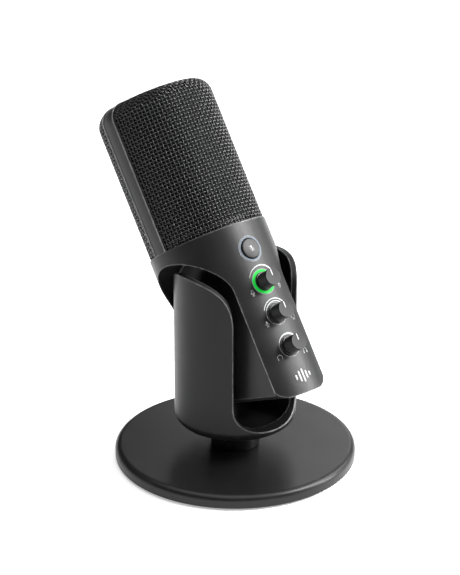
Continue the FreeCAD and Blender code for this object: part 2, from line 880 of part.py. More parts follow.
def make_head_frame():
    band = head_shell(0, -band_thickness, upper_length).common(slab(band_half))
    lips = head_shell(lip_height, -band_thickness / 2, upper_length).common(slab(band_half))
    lips = lips.cut(slab(band_half - lip_width))
    ring = tube(ring_radius, ring_inner, upper_length + ring_rise - ring_bottom,
                Vector(0, 0, ring_bottom), Z)
    shelf = tube(ring_inner + shelf_bite, ring_inner - shelf_width, shelf_thickness,
                 Vector(0, 0, ring_bottom), Z)
    frame = joined([band, lips, ring, shelf])
    for place in mount_screw_places():
        frame = frame.cut(rod(mount_screw_radius, far, place - Z * far / 2, Z))
    return frame


def mount_screw_places():
    circle = ring_inner - shelf_width / 2 - screen_gap
    return [Vector(circle * math.cos(math.radians(45 + 90 * index)),
                   circle * math.sin(math.radians(45 + 90 * index)), 0) for index in range(4)]


def mount_plate_bottom():
    return ring_bottom + shelf_thickness


def capsule_height():
    return upper_length + capsule_rise


def make_capsule_mount():
    bottom = mount_plate_bottom()
    plate = rod(ring_inner - grille_gap, mount_plate_thickness, Vector(0, 0, bottom), Z)
    post = rod(post_radius, capsule_height() - bottom, Vector(0, 0, bottom), Z)
    mount = joined([plate, post])
    mount = mount.cut(panel_rod(capsule_radius + cradle_wall, capsule_height(), -far, far))
    for place in mount_screw_places():
        mount = mount.cut(rod(mount_screw_radius, far, place - Z * far / 2, Z))
    return mount


def make_mount_screws():
    top = mount_plate_bottom() + mount_plate_thickness + small_head
    return Part.makeCompound([
        screw(place + Z * top, -Z, mount_head_radius, small_head, mount_screw_radius,
              mount_plate_thickness + shelf_thickness)
        for place in mount_screw_places()])


def make_capsule_cradle():
    return tube(capsule_radius + cradle_wall, capsule_radius, cradle_width,
                Vector(0, -cradle_width / 2, capsule_height()), Y)


def make_capsule_body():
    body = panel_rod(capsule_radius, capsule_height(), -capsule_length / 2, capsule_length / 2)
    return body.cut(panel_rod(capsule_radius - capsule_wall, capsule_height(), -far, diaphragm_back()))


def diaphragm_back():
    return diaphragm_recess + diaphragm_thickness - capsule_length / 2


def make_capsule_diaphragm():
    return panel_rod(capsule_radius - capsule_wall, capsule_height(),
                     diaphragm_back() - diaphragm_thickness, diaphragm_back())


def make_inner_screen():
    outer = -band_thickness - screen_gap
    return head_shell(outer, outer - screen_thickness, upper_length + ring_rise)


# ---- All pieces ----
pieces = {
    "foot_pad": make_foot_pad(),
    "base_cover": make_base_cover(),
    "base_weight": make_base_weight(),
    "base_screws": make_base_screws(),
    "mount_stud": make_mount_stud(),
    "neck_collar": make_neck_collar(),
    "thread_insert": make_thread_insert(),
    "yoke": make_yoke(),
}

microphone_pieces = {
    "housing_shell": make_housing_shell(),
    "bottom_cap": make_bottom_cap(),
    "cap_screws": make_cap_screws(),
    "chassis": make_chassis(),
    "control_board": make_control_board(),
    "board_screws": make_board_screws(),
    "main_board": make_main_board(),
    "usb_socket": make_usb_socket(),
    "headphone_jack": make_jack(),
    "mute_light_ring": light_ring(mute_height, mute_cap_radius + mute_gap + mute_ring_width,
                                  mute_cap_radius + mute_gap, light_proud),
    "gain_light_ring": light_ring(knob_heights[0], light_outer, light_inner, light_proud),
    "mute_switch": make_mute_switch(),
    "mute_cap": make_mute_cap(),
    "mute_plunger": make_mute_plunger(),
    "head_frame": make_head_frame(),
    "front_grille": make_grille(-1),
    "rear_grille": make_grille(1),
    "inner_screen": make_inner_screen(),
    "capsule_mount": make_capsule_mount(),
    "mount_screws": make_mount_screws(),
    "capsule_cradle": make_capsule_cradle(),
    "capsule_body": make_capsule_body(),
    "capsule_diaphragm": make_capsule_diaphragm(),
}

for name, height in zip(knob_names[1:], knob_heights[1:]):
    microphone_pieces[name + "_trim_ring"] = light_ring(height, trim_outer, light_inner, light_proud)

for name, height in zip(knob_names, knob_heights):
    microphone_pieces[name + "_pot"] = make_pot(height)
    microphone_pieces[name + "_shaft"] = make_shaft(height)
    microphone_pieces[name + "_knob"] = make_knob(height)
    microphone_pieces[name + "_pointer"] = pointer_bar(height)

hinge_pieces = {
    "pivot_screw": make_pivot_screw(),
    "wave_washer": make_wave_washer(),
    "bush": make_bush(),
    "friction_washer": make_friction_washer(),
}
for name, shape in hinge_pieces.items():
    microphone_pieces[name + "_right"] = shape
    microphone_pieces[name + "_left"] = mirrored(shape)

for name, shape in microphone_pieces.items():
    pieces[name] = tilted(shape)

os.makedirs("parts", exist_ok=True)
for name, shape in pieces.items():
    shape.exportStep("parts/" + name + ".step")
    print(name, "solids", len(shape.Solids), "valid", shape.isValid(), "volume", round(shape.Volume, 2))
print("pieces:", len(pieces))
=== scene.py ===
# %% [markdown]
# # A desktop microphone on a tilting stand
# The designed parts come first. They are loaded as a fixed frame, and everything made here
# sits around them, in metres, with the table top at zero height. Nothing loaded is moved.

# %% Load the designed parts
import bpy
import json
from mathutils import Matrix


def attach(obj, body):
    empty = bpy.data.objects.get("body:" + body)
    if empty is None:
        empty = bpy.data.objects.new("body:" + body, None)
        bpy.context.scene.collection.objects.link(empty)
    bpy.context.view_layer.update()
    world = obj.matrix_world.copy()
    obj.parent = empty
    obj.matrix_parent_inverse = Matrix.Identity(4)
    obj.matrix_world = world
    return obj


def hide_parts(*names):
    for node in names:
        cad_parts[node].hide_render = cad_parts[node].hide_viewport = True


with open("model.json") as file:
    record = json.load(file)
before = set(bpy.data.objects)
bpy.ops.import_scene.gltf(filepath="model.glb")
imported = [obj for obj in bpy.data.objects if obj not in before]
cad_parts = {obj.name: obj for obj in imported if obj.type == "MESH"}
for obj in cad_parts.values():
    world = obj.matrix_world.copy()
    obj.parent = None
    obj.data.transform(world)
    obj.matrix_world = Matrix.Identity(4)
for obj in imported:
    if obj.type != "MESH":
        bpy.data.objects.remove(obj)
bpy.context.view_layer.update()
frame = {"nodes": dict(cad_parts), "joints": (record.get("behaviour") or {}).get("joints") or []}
nodes = frame["nodes"]

# %% [markdown]
# ## Where the microphone is
# The microphone leans back about its two pivot screws. Its own pieces are easiest to model
# upright about the pivot, so one matrix leans a finished piece back and lifts it into place.
# The tilt joint gives the pivot, and the axis of a knob gives the lean.

# %% Read the pivot and the lean from the joints
import bmesh
import bpy
import json
import math
from mathutils import Matrix, Vector

MM = 0.001
joints = {joint["name"]: joint for joint in frame["joints"]}
pivot = Vector(joints["mic_tilt"]["pos_m"])
knob_axis = Vector(joints["gain_turn"]["axis"])
lean = math.atan2(knob_axis.z, -knob_axis.y)
leaned = Matrix.Translation(pivot) @ Matrix.Rotation(-lean, 4, "X")
print("the microphone leans back", round(math.degrees(lean), 2), "degrees about", tuple(pivot))

# %% [markdown]
# ## Camera
# A product picture is taken from well back with a long lens, so that upright sides stay
# parallel. The camera stands in front and to the left, a little above, and is placed from
# two angles and a distance, which is easier to read than a matrix of numbers.

# %% Place the camera
def direction(azimuth, elevation):
    """The unit vector from the object towards a viewer at these angles, in degrees."""
    turn, rise = math.radians(azimuth), math.radians(elevation)
    return Vector((math.sin(turn) * math.cos(rise), -math.cos(turn) * math.cos(rise),
                   math.sin(rise)))


def looking(place, target):
    """The rotation that points a camera or a lamp at a target."""
    return (Vector(target) - Vector(place)).to_track_quat("-Z", "Y").to_euler()


camera_azimuth, camera_elevation = -40.03, 24.1
camera_distance = 1.563
camera_back = direction(camera_azimuth, camera_elevation)
camera_right = Vector((0, 0, 1)).cross(camera_back).normalized()
camera_up = camera_back.cross(camera_right)
target = Vector((0, 0, 90 * MM)) - 2.75 * MM * camera_right + 5.0 * MM * camera_up
bpy.ops.object.camera_add(location=target + camera_distance * camera_back,
                          rotation=looking(camera_back, (0, 0, 0)))
camera = bpy.context.object
camera.data.lens = 191.8
camera.data.clip_start, camera.data.clip_end = 0.01, 50
bpy.context.scene.camera = camera
print("camera at", tuple(round(value, 3) for value in camera.location))

# %% [markdown]
# ## Floor, surroundings and lamps
# Black plastic shows its shape only by what it mirrors. The floor is a pale light table: it
# glows a little, a wide lamp overhead makes it white, and it lights the undersides. A tall,
# narrow softbox on the right draws the bright strip down the control panel, with a key in
# front and a broad lamp beside it for the wires of the grille. One on the left and two
# behind, all weak, draw the rims.

# %% Add the floor, the world and the lamps
bpy.ops.mesh.primitive_plane_add(size=16, location=(0, 0, 0))
floor = bpy.context.object
floor.name = "floor"
floor.data.materials.append(bpy.data.materials.new("pale floor"))
floor.data.materials[0].use_nodes = True
floor_shader = floor.data.materials[0].node_tree.nodes["Principled BSDF"]
floor_shader.inputs["Base Color"].default_value = (0.86, 0.86, 0.86, 1)
floor_shader.inputs["Roughness"].default_value = 0.9
floor_shader.inputs["Specular IOR Level"].default_value = 0.1
floor_shader.inputs["Emission Color"].default_value = (1, 1, 1, 1)
floor_shader.inputs["Emission Strength"].default_value = 0.42

world = bpy.data.worlds.new("studio")
bpy.context.scene.world = world
world.use_nodes = True
world.node_tree.nodes["Background"].inputs["Color"].default_value = (1, 1, 1, 1)
world.node_tree.nodes["Background"].inputs["Strength"].default_value = 0.07
bpy.context.scene.view_settings.view_transform = "Standard"


def softbox(name, azimuth, elevation, distance, width, height, power):
    """A rectangular lamp that faces the middle of the object."""
    middle = Vector((0, 0, 90 * MM))
    place = middle + distance * direction(azimuth, elevation)
    bpy.ops.object.light_add(type="AREA", location=place, rotation=looking(place, middle))
    lamp = bpy.context.object
    lamp.name = name
    lamp.data.shape = "RECTANGLE"
    lamp.data.size, lamp.data.size_y = width, height
    lamp.data.energy = power


lamps = {    # azimuth and elevation in degrees, distance, width and height in metres, watts
    "overhead": (0, 88, 2.2, 3.0, 3.0, 66),
    "front_key": (34, 42, 1.4, 0.3, 0.3, 15),
    "panel_strip": (52, 26, 1.3, 0.2, 1.1, 30),
    "right_side": (84, 30, 1.4, 0.4, 0.9, 8),
    "left_fill": (-112, 20, 1.6, 0.5, 1.2, 0.2),
    "back_left": (-138, 26, 1.5, 0.5, 0.9, 0.3),
    "back_rim": (128, 20, 1.5, 0.6, 0.9, 4),
}
for name, values in lamps.items():
    softbox(name, *values)
print("one floor and", len(lamps), "lamps")

# %% [markdown]
# ## Shared surface effects
# Real plastic is never one flat colour: the mould leaves a fine grain and hands leave it
# glossier in places. Along the edges a lighter colour is painted on as a highlight. Each effect
# is a node group, built once and placed in many materials with its own values. A group only puts
# out masks, values and heights.

# %% Build the node groups
def new_group(name, inputs, outputs):
    """An empty node group with number or vector inputs and number outputs."""
    tree = bpy.data.node_groups.new(name, "ShaderNodeTree")
    for label, kind, value in inputs:
        socket = tree.interface.new_socket(label, in_out="INPUT", socket_type=kind)
        if value is not None:
            socket.default_value = value
    for label in outputs:
        tree.interface.new_socket(label, in_out="OUTPUT", socket_type="NodeSocketFloat")
    return tree, tree.nodes.new("NodeGroupInput"), tree.nodes.new("NodeGroupOutput")


def add_node(tree, kind, sockets=None, **settings):
    """A node with its settings and with values or links on the named sockets."""
    node = tree.nodes.new(kind)
    for label, value in settings.items():
        setattr(node, label, value)
    for label, value in (sockets or {}).items():
        if isinstance(value, bpy.types.NodeSocket):
            tree.links.new(value, node.inputs[label])
        else:
            node.inputs[label].default_value = value
    return node


def between(tree, mask, low, high):
    """A number that goes from low to high with a mask from 0 to 1."""
    return add_node(tree, "ShaderNodeMapRange",
                    {"Value": mask, "To Min": low, "To Max": high}).outputs["Result"]


FLOAT, VECTOR = "NodeSocketFloat", "NodeSocketVector"

grain_group, given, made = new_group(
    "moulded grain", [("Vector", VECTOR, None), ("Grains per metre", FLOAT, 4000.0)],
    ["Height"])
cells = add_node(grain_group, "ShaderNodeTexVoronoi",
                 {"Vector": given.outputs["Vector"], "Scale": given.outputs["Grains per metre"]},
                 feature="SMOOTH_F1")
swell = add_node(grain_group, "ShaderNodeTexNoise",
                 {"Vector": given.outputs["Vector"], "Scale": 900.0, "Detail": 3.0})
height = add_node(grain_group, "ShaderNodeMath",
                  {0: cells.outputs["Distance"], 1: swell.outputs["Fac"]}, operation="ADD")
grain_group.links.new(height.outputs[0], made.inputs["Height"])

rub_group, given, made = new_group(
    "handled patches",
    [("Vector", VECTOR, None), ("Patches per metre", FLOAT, 40.0), ("Low", FLOAT, 0.4),
     ("High", FLOAT, 0.5)],
    ["Mask", "Roughness"])
patches = add_node(rub_group, "ShaderNodeTexNoise",
                   {"Vector": given.outputs["Vector"],
                    "Scale": given.outputs["Patches per metre"], "Detail": 5.0,
                    "Roughness": 0.6, "Distortion": 0.4})
spread = add_node(rub_group, "ShaderNodeMapRange",
                  {"Value": patches.outputs["Fac"], "From Min": 0.3, "From Max": 0.7})
rub_group.links.new(spread.outputs["Result"], made.inputs["Mask"])
rub_group.links.new(
    between(rub_group, spread.outputs["Result"], given.outputs["Low"], given.outputs["High"]),
    made.inputs["Roughness"])

# Painted edge highlights: a mask along sharp edges from the Bevel node, broken up by noise. The
# finishes mix a lighter colour there as a painted highlight in place of the light that rounded
# edges catch.
edge_highlight_group, given, made = new_group(
    "painted edge highlights", [("Vector", VECTOR, None), ("Width", FLOAT, 0.0007)], ["Mask"])
rounded = add_node(edge_highlight_group, "ShaderNodeBevel", {"Radius": given.outputs["Width"]}, samples=4)
flat = add_node(edge_highlight_group, "ShaderNodeNewGeometry")
turn = add_node(edge_highlight_group, "ShaderNodeVectorMath",
                {0: rounded.outputs["Normal"], 1: flat.outputs["Normal"]},
                operation="DOT_PRODUCT")
edge = add_node(edge_highlight_group, "ShaderNodeMapRange",
                {"Value": turn.outputs["Value"], "From Min": 0.99, "From Max": 0.9})
breaks = add_node(edge_highlight_group, "ShaderNodeTexNoise",
                  {"Vector": given.outputs["Vector"], "Scale": 300.0, "Detail": 4.0})
highlight_breaks = add_node(edge_highlight_group, "ShaderNodeMapRange",
                {"Value": breaks.outputs["Fac"], "From Min": 0.35, "From Max": 0.6,
                 "To Min": 0.55, "To Max": 1.0})
mask = add_node(edge_highlight_group, "ShaderNodeMath",
                {0: edge.outputs["Result"], 1: highlight_breaks.outputs["Result"]}, operation="MULTIPLY")
edge_highlight_group.links.new(mask.outputs[0], made.inputs["Mask"])

line_group, given, made = new_group(
    "tool lines", [("Vector", VECTOR, None), ("Lines per metre", FLOAT, 9000.0)], ["Height"])
stretch = add_node(line_group, "ShaderNodeVectorMath",
                   {0: given.outputs["Vector"], 1: (0.06, 0.06, 1.0)}, operation="MULTIPLY")
lines = add_node(line_group, "ShaderNodeTexNoise",
                 {"Vector": stretch.outputs["Vector"],
                  "Scale": given.outputs["Lines per metre"], "Detail": 2.0})
line_group.links.new(lines.outputs["Fac"], made.inputs["Height"])
print(len(bpy.data.node_groups), "shared effects")

# %% [markdown]
# ## Finishes
# Every finish is one Principled shader with the shared effects plugged in. Satin charcoal
# paint on the microphone and stand, a finer black on the base, enamelled wire, rubber, turned
# metal and board material differ in colour, gloss and grain, so one recipe makes them all.

# %% Mix the finishes
def finish(name, colour, roughness, grain=(4000.0, 0.05), metallic=0.0, shade=0.75,
           edge_highlight_colour=None, effect=grain_group, **sockets):
    """A material: colour and its darker shade in patches, roughness range and grain."""
    material = bpy.data.materials.new(name.replace("_", " ") + " finish")
    material.use_nodes = True
    tree = material.node_tree
    shader = tree.nodes["Principled BSDF"]
    place = add_node(tree, "ShaderNodeTexCoord").outputs["Object"]
    rub = add_node(tree, "ShaderNodeGroup", node_tree=rub_group)
    tree.links.new(place, rub.inputs["Vector"])
    rub.inputs["Low"].default_value, rub.inputs["High"].default_value = roughness
    tree.links.new(rub.outputs["Roughness"], shader.inputs["Roughness"])
    dark = (*[shade * value for value in colour], 1)
    tint = add_node(tree, "ShaderNodeMix", data_type="RGBA")
    tree.links.new(rub.outputs["Mask"], tint.inputs["Factor"])
    tint.inputs[6].default_value, tint.inputs[7].default_value = dark, (*colour, 1)
    paint = tint.outputs[2]
    # Painted highlight: a lighter colour mixed into the paint along the edges.
    if edge_highlight_colour:
        highlight_node = add_node(tree, "ShaderNodeGroup", node_tree=edge_highlight_group)
        tree.links.new(place, highlight_node.inputs["Vector"])
        highlighted_paint = add_node(tree, "ShaderNodeMix", data_type="RGBA")
        tree.links.new(highlight_node.outputs["Mask"], highlighted_paint.inputs["Factor"])
        tree.links.new(paint, highlighted_paint.inputs[6])
        highlighted_paint.inputs[7].default_value = (*edge_highlight_colour, 1)
        paint = highlighted_paint.outputs[2]
    tree.links.new(paint, shader.inputs["Base Color"])
    texture = add_node(tree, "ShaderNodeGroup", node_tree=effect)
    tree.links.new(place, texture.inputs["Vector"])
    texture.inputs[1].default_value = grain[0]
    bump = add_node(tree, "ShaderNodeBump", {"Height": texture.outputs["Height"],
                                             "Strength": grain[1], "Distance": 0.0001})
    tree.links.new(bump.outputs["Normal"], shader.inputs["Normal"])
    shader.inputs["Metallic"].default_value = metallic
    for label, value in sockets.items():
        shader.inputs[label.replace("_", " ")].default_value = value
    return material


# The edge colours below are painted highlights: lighter than each paint, laid along the edges of
# the base, stand, housing and knobs.
finishes = {
    "rubber": finish("rubber", (0.018, 0.018, 0.018), (0.75, 0.9), (3000.0, 0.3)),
    "base_plastic": finish("base_plastic", (0.007, 0.007, 0.0074), (0.34, 0.4), (5200.0, 0.12),
                           edge_highlight_colour=(0.02, 0.02, 0.0205), Specular_IOR_Level=0.28),
    # The stand's copy of the charcoal paint is mixed darker and less glossy than the housing's:
    # painted shade that tones down the lit left arm of the stand.
    "stand_plastic": finish("stand_plastic", (0.0055, 0.0055, 0.0058), (0.36, 0.44),
                            (5200.0, 0.15), edge_highlight_colour=(0.4, 0.4, 0.41),
                            Specular_IOR_Level=0.2),
    "housing_plastic": finish("housing_plastic", (0.009, 0.009, 0.0094), (0.36, 0.44),
                              (5200.0, 0.15), edge_highlight_colour=(0.4, 0.4, 0.41),
                              Specular_IOR_Level=0.28),
    "inner_plastic": finish("inner_plastic", (0.012, 0.012, 0.012), (0.5, 0.62),
                            (3600.0, 0.25)),
    "knob_plastic": finish("knob_plastic", (0.02, 0.02, 0.0205), (0.46, 0.54), (5200.0, 0.12),
                           edge_highlight_colour=(0.06, 0.06, 0.062), Specular_IOR_Level=0.2),
    "knob_grip": finish("knob_grip", (0.003, 0.003, 0.0031), (0.3, 0.38), (5200.0, 0.1),
                        Specular_IOR_Level=0.3),
    "button_plastic": finish("button_plastic", (0.012, 0.012, 0.0125), (0.38, 0.46),
                             (5200.0, 0.15), Specular_IOR_Level=0.3),
    "trim_black": finish("trim_black", (0.004, 0.004, 0.004), (0.4, 0.5), (5200.0, 0.1),
                         Specular_IOR_Level=0.25),
    "nylon": finish("nylon", (0.6, 0.59, 0.55), (0.45, 0.6), (2500.0, 0.15)),
    "cradle_rubber": finish("cradle_rubber", (0.02, 0.02, 0.02), (0.7, 0.85), (2600.0, 0.3)),
    "circuit_board": finish("circuit_board", (0.012, 0.1, 0.045), (0.25, 0.4),
                            (1400.0, 0.3), shade=0.55),
    "grille_wire": finish("grille_wire", (0.0025, 0.0025, 0.0026), (0.17, 0.24),
                          (6000.0, 0.1), Specular_IOR_Level=0.6),
    "screen_mesh": finish("screen_mesh", (0.004, 0.004, 0.004), (0.7, 0.85), (1800.0, 0.8)),
    "steel": finish("steel", (0.56, 0.56, 0.57), (0.28, 0.4), (9000.0, 0.2), 1.0,
                    shade=0.85, effect=line_group),
    "screw_steel": finish("screw_steel", (0.05, 0.05, 0.05), (0.35, 0.45), (9000.0, 0.2), 0.8,
                          effect=line_group),
    "socket_steel": finish("socket_steel", (0.6, 0.6, 0.62), (0.2, 0.32), (9000.0, 0.15), 1.0,
                           effect=line_group),
    "pot_metal": finish("pot_metal", (0.5, 0.5, 0.5), (0.3, 0.45), (7000.0, 0.2), 1.0,
                        effect=line_group),
    "brass": finish("brass", (0.72, 0.5, 0.2), (0.22, 0.35), (9000.0, 0.2), 1.0,
                    shade=0.8, effect=line_group),
    "capsule_metal": finish("capsule_metal", (0.62, 0.48, 0.24), (0.2, 0.32),
                            (9000.0, 0.15), 1.0, shade=0.85, effect=line_group),
    "diaphragm_gold": finish("diaphragm_gold", (0.9, 0.66, 0.25), (0.12, 0.22),
                             (1500.0, 0.1), 1.0, shade=0.9),
    "white_inlay": finish("white_inlay", (0.42, 0.425, 0.43), (0.4, 0.5), (4000.0, 0.05),
                          shade=0.92),
    "mute_lens": finish("mute_lens", (0.13, 0.155, 0.185), (0.5, 0.6), (3000.0, 0.03),
                        shade=0.6, Specular_IOR_Level=0.15, Emission_Color=(0.45, 0.6, 0.75, 1),
                        Emission_Strength=0.02),
    "gain_lens": finish("gain_lens", (0.005, 0.3, 0.03), (0.5, 0.6), (3000.0, 0.03),
                        shade=0.7, Specular_IOR_Level=0.15, Emission_Color=(0.0, 0.7, 0.06, 1),
                        Emission_Strength=0.42),
}
for node in nodes.values():
    node.material_slots[0].material = finishes[node.material_slots[0].material.name]
print(len(finishes), "finishes on", len(nodes), "designed parts")

# %% [markdown]
# ## Woven wire grille
# The head is covered by two formed half shells of plain-woven wire. A texture could only
# pretend to be wire, so every wire is modelled: a line that runs over and under its
# neighbours, given a round section. Upright wires lie in planes across the head, follow its
# wall, bend over the rounded shoulder and end at the smooth band. Cross wires join the points
# that are equally far along all the upright wires, as in cloth that was pressed into a cap.

# %% Describe the head's surface that the wires follow
wire_radius = 0.36 * MM
wire_pitch_up = 1.85 * MM
mesh_radius = 30.4 * MM
head_top = 117.9 * MM
shoulder_flat = 22.0 * MM
shoulder_round = mesh_radius - shoulder_flat
wall_top = head_top - shoulder_round
wall_bottom = 38.7 * MM
band_edge = 5.2 * MM
wire_turn = 2.0 * MM / mesh_radius
step_turn = wire_turn / 4


def head_point(across, depth):
    """Place and outward direction on the head's top, this far across and in front."""
    reach = math.hypot(across, depth)
    if reach <= shoulder_flat:
        return Vector((across, -depth, head_top)), Vector((0, 0, 1))
    over = min(1.0, (reach - shoulder_flat) / shoulder_round)
    rise = math.sqrt(1 - over * over)
    outward = Vector((over * across / reach, -over * depth / reach, rise))
    return Vector((across, -depth, wall_top + shoulder_round * rise)), outward


def upright_path(turn):
    """Places along one upright wire, as a table of travel, place and outward direction."""
    across, depth = mesh_radius * math.sin(turn), mesh_radius * math.cos(turn)
    outward = Vector((math.sin(turn), -math.cos(turn), 0))
    table = [(0.0, Vector((across, -depth, wall_bottom)), outward),
             (wall_top - wall_bottom, Vector((across, -depth, wall_top)), outward)]
    count = 160
    travel = wall_top - wall_bottom
    for index in range(1, count + 1):
        share = index / count
        inward = depth - (depth - band_edge) * (1 - math.cos(share * math.pi / 2))
        place, outward = head_point(across, inward)
        travel += (place - table[-1][1]).length
        table.append((travel, place, outward))
    return table


def at_travel(table, travel):
    """Place and outward direction at one travel along an upright wire's table."""
    for before, after in zip(table, table[1:]):
        if travel <= after[0]:
            share = (travel - before[0]) / max(after[0] - before[0], 1e-12)
            return before[1].lerp(after[1], share), before[2].slerp(after[2], share)
    return table[-1][1], table[-1][2]


last_turn = math.acos(band_edge / mesh_radius)
turn_count = int(last_turn / step_turn)
turns = [index * step_turn for index in range(-turn_count, turn_count + 1)]
paths = {index: upright_path(turns[index + turn_count])
         for index in range(-turn_count, turn_count + 1)}
edge_path = {-1: upright_path(-last_turn), 1: upright_path(last_turn)}
print(len(paths), "guide lines, the middle one", round(paths[0][-1][0] / MM, 1), "mm long")

# %% Weave the wires as curves and give them their round section
def crimp(turn_index, travel):
    """How far an upright wire stands out of the mesh; a cross wire goes the other way."""
    return (wire_radius * math.cos(math.pi * travel / wire_pitch_up)
            * math.cos(math.pi * turn_index / 4))


def wires_to_mesh(name, wires, half_turn):
    """One mesh from many wires, each a list of points, on the front or the rear half."""
    line = bpy.data.curves.new(name, "CURVE")
    line.dimensions = "3D"
    line.bevel_depth = wire_radius
    line.bevel_resolution = 1
    line.use_fill_caps = True
    for wire in wires:
        spline = line.splines.new("POLY")
        spline.points.add(len(wire) - 1)
        for point, place in zip(spline.points, wire):
            point.co = (*place, 1)
        spline.use_smooth = True
    piece = bpy.data.objects.new(name, line)
    bpy.context.scene.collection.objects.link(piece)
    bpy.ops.object.select_all(action="DESELECT")
    piece.select_set(True)
    bpy.context.view_layer.objects.active = piece
    bpy.ops.object.convert(target="MESH")
    piece = bpy.context.object
    piece.data.transform(leaned @ Matrix.Rotation(half_turn, 4, "Z"))
    piece.data.materials.clear()
    piece.data.materials.append(finishes["grille_wire"])
    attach(piece, "microphone")
    print(name, len(wires), "wires,", 2 * len(piece.data.polygons), "triangles or less")
    return piece


upright_wires = []
for index in range(-(turn_count // 4), turn_count // 4 + 1):
    table = paths[4 * index]
    length = table[-1][0]
    steps = int(length / (wire_pitch_up / 4))
    marks = [step * wire_pitch_up / 4 for step in range(steps + 1)] + [length]
    wire = []
    for travel in marks:
        place, outward = at_travel(table, travel)
        wire.append(place + crimp(4 * index, travel) * outward)
    upright_wires.append(wire)

cross_wires = []
rows = int(paths[0][-1][0] / wire_pitch_up)
for row in range(rows + 1):
    travel = row * wire_pitch_up
    wire = []
    for index in range(-turn_count, turn_count + 1):
        if paths[index][-1][0] >= travel:
            place, outward = at_travel(paths[index], travel)
            wire.append(place - crimp(index, travel) * outward)
    if paths[turn_count][-1][0] >= travel:
        ends = [at_travel(edge_path[side], travel)[0] for side in (-1, 1)]
        wire = [ends[0], *wire, ends[1]]
    if len(wire) > 3:
        cross_wires.append(wire)

for half, half_turn in (("front", 0.0), ("rear", math.pi)):
    for run, wires in (("upright", upright_wires), ("cross", cross_wires)):
        name = half + "_grille_" + run + "_wires"
        wires_to_mesh(name, wires, half_turn)
    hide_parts(half + "_grille")

# %% [markdown]
# ## Knurled knobs
# Each knob is a turned plastic grip with a diamond knurl, a flange at its foot and a smooth
# satin face. The knurl is real relief: a tube of square faces is poked, the old edges are
# dissolved so that diamonds are left, and each diamond is poked outwards into a low pyramid.
# One knob is modelled on the Z axis and copied to the three shafts.

# %% Model one knob on the Z axis
knob_radius = 4.35 * MM
knob_length = 8.6 * MM
knurl_valley = 4.12 * MM
knurl_height = 0.3 * MM
knurl_columns, knurl_rows = 26, 7
knurl_bottom, knurl_top = 0.75 * MM, 7.8 * MM
flange_radius, flange_height, flange_round = 4.9 * MM, 0.8 * MM, 0.3 * MM
collar_inset, collar_bottom, collar_round = 0.12 * MM, 0.1 * MM, 0.1 * MM
face_overlap, face_round, face_rim, face_sink = 0.12 * MM, 0.15 * MM, 0.28 * MM, 0.05 * MM
smooth_angle = math.radians(22)


def deselect():
    """Nothing selected, so that the next operator acts only on what it adds."""
    bpy.ops.object.select_all(action="DESELECT")


def pick(kind, test):
    """In edit mode, select the vertices, edges or faces that pass a test."""
    bpy.ops.mesh.select_mode(type=kind)
    bpy.ops.mesh.select_all(action="DESELECT")
    shape = bmesh.from_edit_mesh(bpy.context.object.data)
    items = {"VERT": shape.verts, "EDGE": shape.edges, "FACE": shape.faces}[kind]
    for item in items:
        item.select = bool(test(item))
    shape.select_flush_mode()
    bmesh.update_edit_mesh(bpy.context.object.data)


def span(edge):
    """An edge's height and its length across, without signs."""
    way = edge.verts[1].co - edge.verts[0].co
    return abs(way.z), math.hypot(way.x, way.y)


def join_pieces(name, pieces):
    """Several pieces made one, with outward faces and smooth shading up to sharp edges."""
    deselect()
    for piece in pieces:
        piece.select_set(True)
    bpy.context.view_layer.objects.active = pieces[0]
    bpy.ops.object.join()
    bpy.ops.object.transform_apply(location=True, rotation=True, scale=True)
    bpy.ops.object.mode_set(mode="EDIT")
    bpy.ops.mesh.select_all(action="SELECT")
    bpy.ops.mesh.normals_make_consistent(inside=False)
    bpy.ops.object.mode_set(mode="OBJECT")
    bpy.ops.object.shade_smooth_by_angle(angle=smooth_angle)
    whole = bpy.context.object
    whole.name = whole.data.name = name
    return whole


def knurled_grip():
    """The grip's side as a net of low pyramids, closed at both ends."""
    deselect()
    bpy.ops.mesh.primitive_cylinder_add(
        vertices=knurl_columns, radius=knurl_valley, depth=knurl_top - knurl_bottom,
        end_fill_type="NOTHING", location=(0, 0, (knurl_top + knurl_bottom) / 2))
    bpy.ops.object.transform_apply(location=True, rotation=False, scale=False)
    bpy.ops.object.mode_set(mode="EDIT")
    pick("EDGE", lambda edge: span(edge)[0] > span(edge)[1])
    bpy.ops.mesh.subdivide(number_cuts=knurl_rows - 1)
    bpy.ops.mesh.select_all(action="SELECT")
    bpy.ops.mesh.poke()
    pick("EDGE", lambda edge: not edge.is_boundary and min(span(edge)) < 0.001 * MM)
    bpy.ops.mesh.dissolve_edges(use_verts=False)
    pick("FACE", lambda face: len(face.verts) == 4)
    bpy.ops.mesh.poke(offset=knurl_height)
    pick("EDGE", lambda edge: edge.is_boundary)
    bpy.ops.mesh.fill_holes(sides=0)
    bpy.ops.object.mode_set(mode="OBJECT")
    return bpy.context.object


def turned_disc(radius, low, high, rim_round, inset=0.0, sink=0.0, steps=3):
    """A disc with a rounded top rim and, if asked, a shallow dished face."""
    deselect()
    bpy.ops.mesh.primitive_cylinder_add(vertices=72, radius=radius, depth=high - low,
                                        location=(0, 0, (low + high) / 2))
    bpy.ops.object.transform_apply(location=True, rotation=False, scale=False)
    bpy.ops.object.mode_set(mode="EDIT")
    pick("EDGE", lambda edge: span(edge)[0] < 1e-7 and edge.verts[0].co.z > high - 1e-7)
    bpy.ops.mesh.bevel(offset=rim_round, segments=steps, affect="EDGES")
    if inset:
        pick("FACE", lambda face: face.normal.z > 0.99 and len(face.verts) > 8)
        bpy.ops.mesh.inset(thickness=inset, depth=-sink)
    bpy.ops.object.mode_set(mode="OBJECT")
    return bpy.context.object


